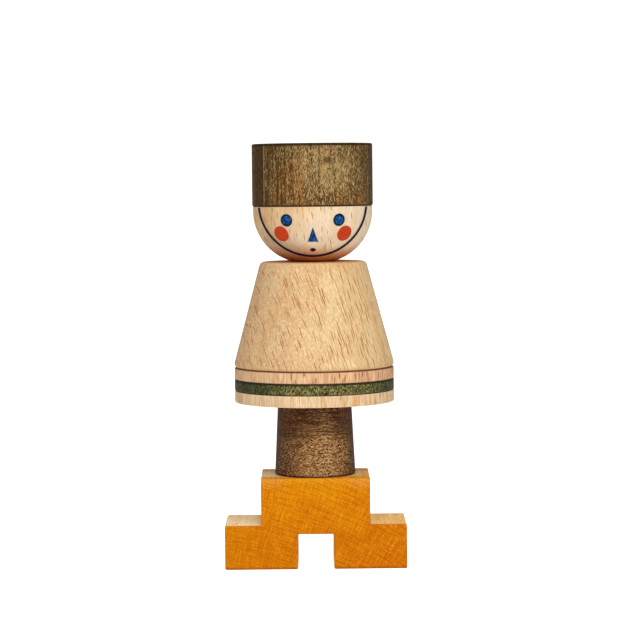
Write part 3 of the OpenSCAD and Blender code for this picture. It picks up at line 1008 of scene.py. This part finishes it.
# %% [markdown]
# ## The painted face
#
# The paint is a thin film that the CAD model already holds, cut from the bowl's own curve, so its
# outlines are exact. It only needs the look of paint: matt and a little mottled. The marks were
# stamped, so each eye is thick and dark at its rim, and the nose is darker at its tip. On the blue
# paint the light flecks are brighter, a painted reflection of the lamps.


# %% Mix the paints
def paint(name, base, light, dark, eye=None):
    """A film of paint. An eye (across, height, radius) in mm is darker towards its rim."""
    material, tree = new_material(name)
    place = add(tree, "TexCoord").outputs["Object"]
    fine = use(tree, fibres, {"Vector": place, "Width": 0.0006, "Length": 0.0008})["Value"]
    film = mixed(tree, ramp(tree, fine, 0.1, 0.9, 0.0, 0.6), base, light)
    film = mixed(tree, ramp(tree, fine, -0.1, -0.9, 0.0, 0.5), film, dark)
    if eye:
        across, height, radius = eye
        x, _, z = split(tree, place)
        aside = sums(tree, "ABSOLUTE", x)
        flat = add(tree, "CombineXYZ", {0: aside, 2: z}).outputs[0]
        inside = patch(tree, flat, (across, 0, height), (radius, FAR, radius))
        near = patch(tree, flat, (across, 0, height), (2 * radius, FAR, 2 * radius))
        rim = times(tree, ramp(tree, near, 0.2, 0.3), ramp(tree, inside, 0.8, 0.2))
        film = mixed(tree, times(tree, rim, 0.92), film, dark)
        tip = ramp(tree, z, (height - 11) * MM, (height - 3) * MM, 0.0, 0.5)
        nose = ramp(tree, aside, 3.4 * MM, 3 * MM)
        film = mixed(tree, times(tree, tip, nose), film, dark)
    close_material(tree, film, fine, rough=(0.45, 0.6), relief=0.00002, gloss=0.05)
    return material


# %% Paint the face
EYE_OUT, EYE_DOWN, EYE_R = 0.433, 0.238, 2.5
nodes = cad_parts
eye = (EYE_OUT * HEAD_R, head_foot / MM + HEAD_H * (1 - EYE_DOWN), EYE_R)
# The light flecks of the blue paint stand for a painted reflection of the lamps.
dress(nodes["blue_paint"], paint(
    "blue_paint_film", colour(12, 64, 132), colour(84, 154, 206), colour(8, 20, 44), eye))
dress(nodes["red_paint"], paint(
    "red_paint_film", colour(196, 62, 27), colour(208, 84, 42), colour(180, 50, 20)))
dress(nodes["dark_paint"], paint(
    "dark_paint_film", colour(29, 28, 48), colour(48, 48, 78), colour(14, 12, 20)))

# %% [markdown]
# ## The studio
#
# The picture has no backdrop to speak of, so the doll stands on a white sweep: a floor that curves up
# into a wall, which leaves no horizon behind it. Two large soft lights stand in front on the right,
# one above the other, a weaker one stands on the left, and another hangs overhead. A white world fills
# in from all round. It is dim, so that the shadows keep some depth, and only the camera sees it bright.

# %% Lay the white sweep
HALF_FLOOR, WALL_H, CURVE_R = 1.5, 2.2, 0.6
shape = bmesh.new()
bmesh.ops.create_grid(shape, x_segments=1, y_segments=1, size=HALF_FLOOR)
far = [e for e in shape.edges if all(v.co.y > HALF_FLOOR - TINY for v in e.verts)]
raised = bmesh.ops.extrude_edge_only(shape, edges=far)["geom"]
bmesh.ops.translate(shape, vec=(0, 0, WALL_H), verts=points_of(raised))
bmesh.ops.bevel(
    shape, geom=far, offset=CURVE_R, offset_type="OFFSET", affect="EDGES", segments=16, profile=0.5,
    material=-1,
)
bmesh.ops.recalc_face_normals(shape, faces=shape.faces[:])
sweep_mesh = bpy.data.meshes.new("sweep")
shape.to_mesh(sweep_mesh)
shape.free()
sweep_mesh.shade_smooth()
sweep = bpy.data.objects.new("sweep", sweep_mesh)
bpy.context.scene.collection.objects.link(sweep)
print("sweep:", len(sweep.data.polygons), "faces")


# %% Make it white
def grey(value):
    return (value, value, value, 1)


card, tree = new_material("white_card")
place = add(tree, "TexCoord").outputs["Object"]
paper = use(tree, fibres, {"Vector": place, "Width": 0.002, "Length": 0.002})["Value"]
tone = mixed(tree, ramp(tree, paper, -1.0, 1.0), grey(0.9), grey(0.93))
seen = add(tree, "LightPath").outputs["Is Camera Ray"]
shader = add(tree, "BsdfPrincipled", {
    "Base Color": mixed(tree, seen, grey(0.85), tone), "Roughness": 0.95, "Specular IOR Level": 0.1,
    "Emission Color": mixed(tree, seen, grey(0.18), tone), "Emission Strength": 0.9,
})
tree.links.new(shader.outputs[0], add(tree, "OutputMaterial").inputs[0])
dress(sweep, card)

# %% Set the lights
MIDDLE_Z = 85


def softbox(name, azimuth, elevation, distance, size, power):
    """A square area light that looks at the doll's middle. Azimuth 0 is the camera's side."""
    light = bpy.data.lights.new(name, "AREA")
    light.shape, light.size, light.energy = "SQUARE", size, power
    lamp = bpy.data.objects.new(name, light)
    a, e = math.radians(azimuth), math.radians(elevation)
    away = Vector((math.sin(a) * math.cos(e), -math.cos(a) * math.cos(e), math.sin(e)))
    lamp.location = Vector((0, 0, MIDDLE_Z * MM)) + away * distance
    lamp.rotation_euler = away.to_track_quat("Z", "Y").to_euler()
    bpy.context.scene.collection.objects.link(lamp)


softbox("key", 20, 27, 1.1, 0.8, 4.1)
softbox("high", 5, 46, 1.1, 0.8, 4.1)
softbox("fill", -40, 20, 1.3, 0.9, 1.6)
softbox("top", 0, 80, 1.0, 0.7, 2.4)
print("lights:", [light.name for light in bpy.data.lights])

# %% Fill in from all round
DIM, FULL = 0.25, 1.0
world = bpy.data.worlds.new("white_room")
bpy.context.scene.world = world
world.use_nodes = True
tree = world.node_tree
glow, strength = tree.nodes["Background"].inputs[:2]
glow.default_value = grey(1)
seen = add(tree, "LightPath").outputs["Is Camera Ray"]
tree.links.new(ramp(tree, seen, 0.0, 1.0, DIM, FULL), strength)
bpy.context.scene.view_settings.view_transform = "Standard"
print("world:", world.name, "strength", DIM, "for light and", FULL, "for the camera")
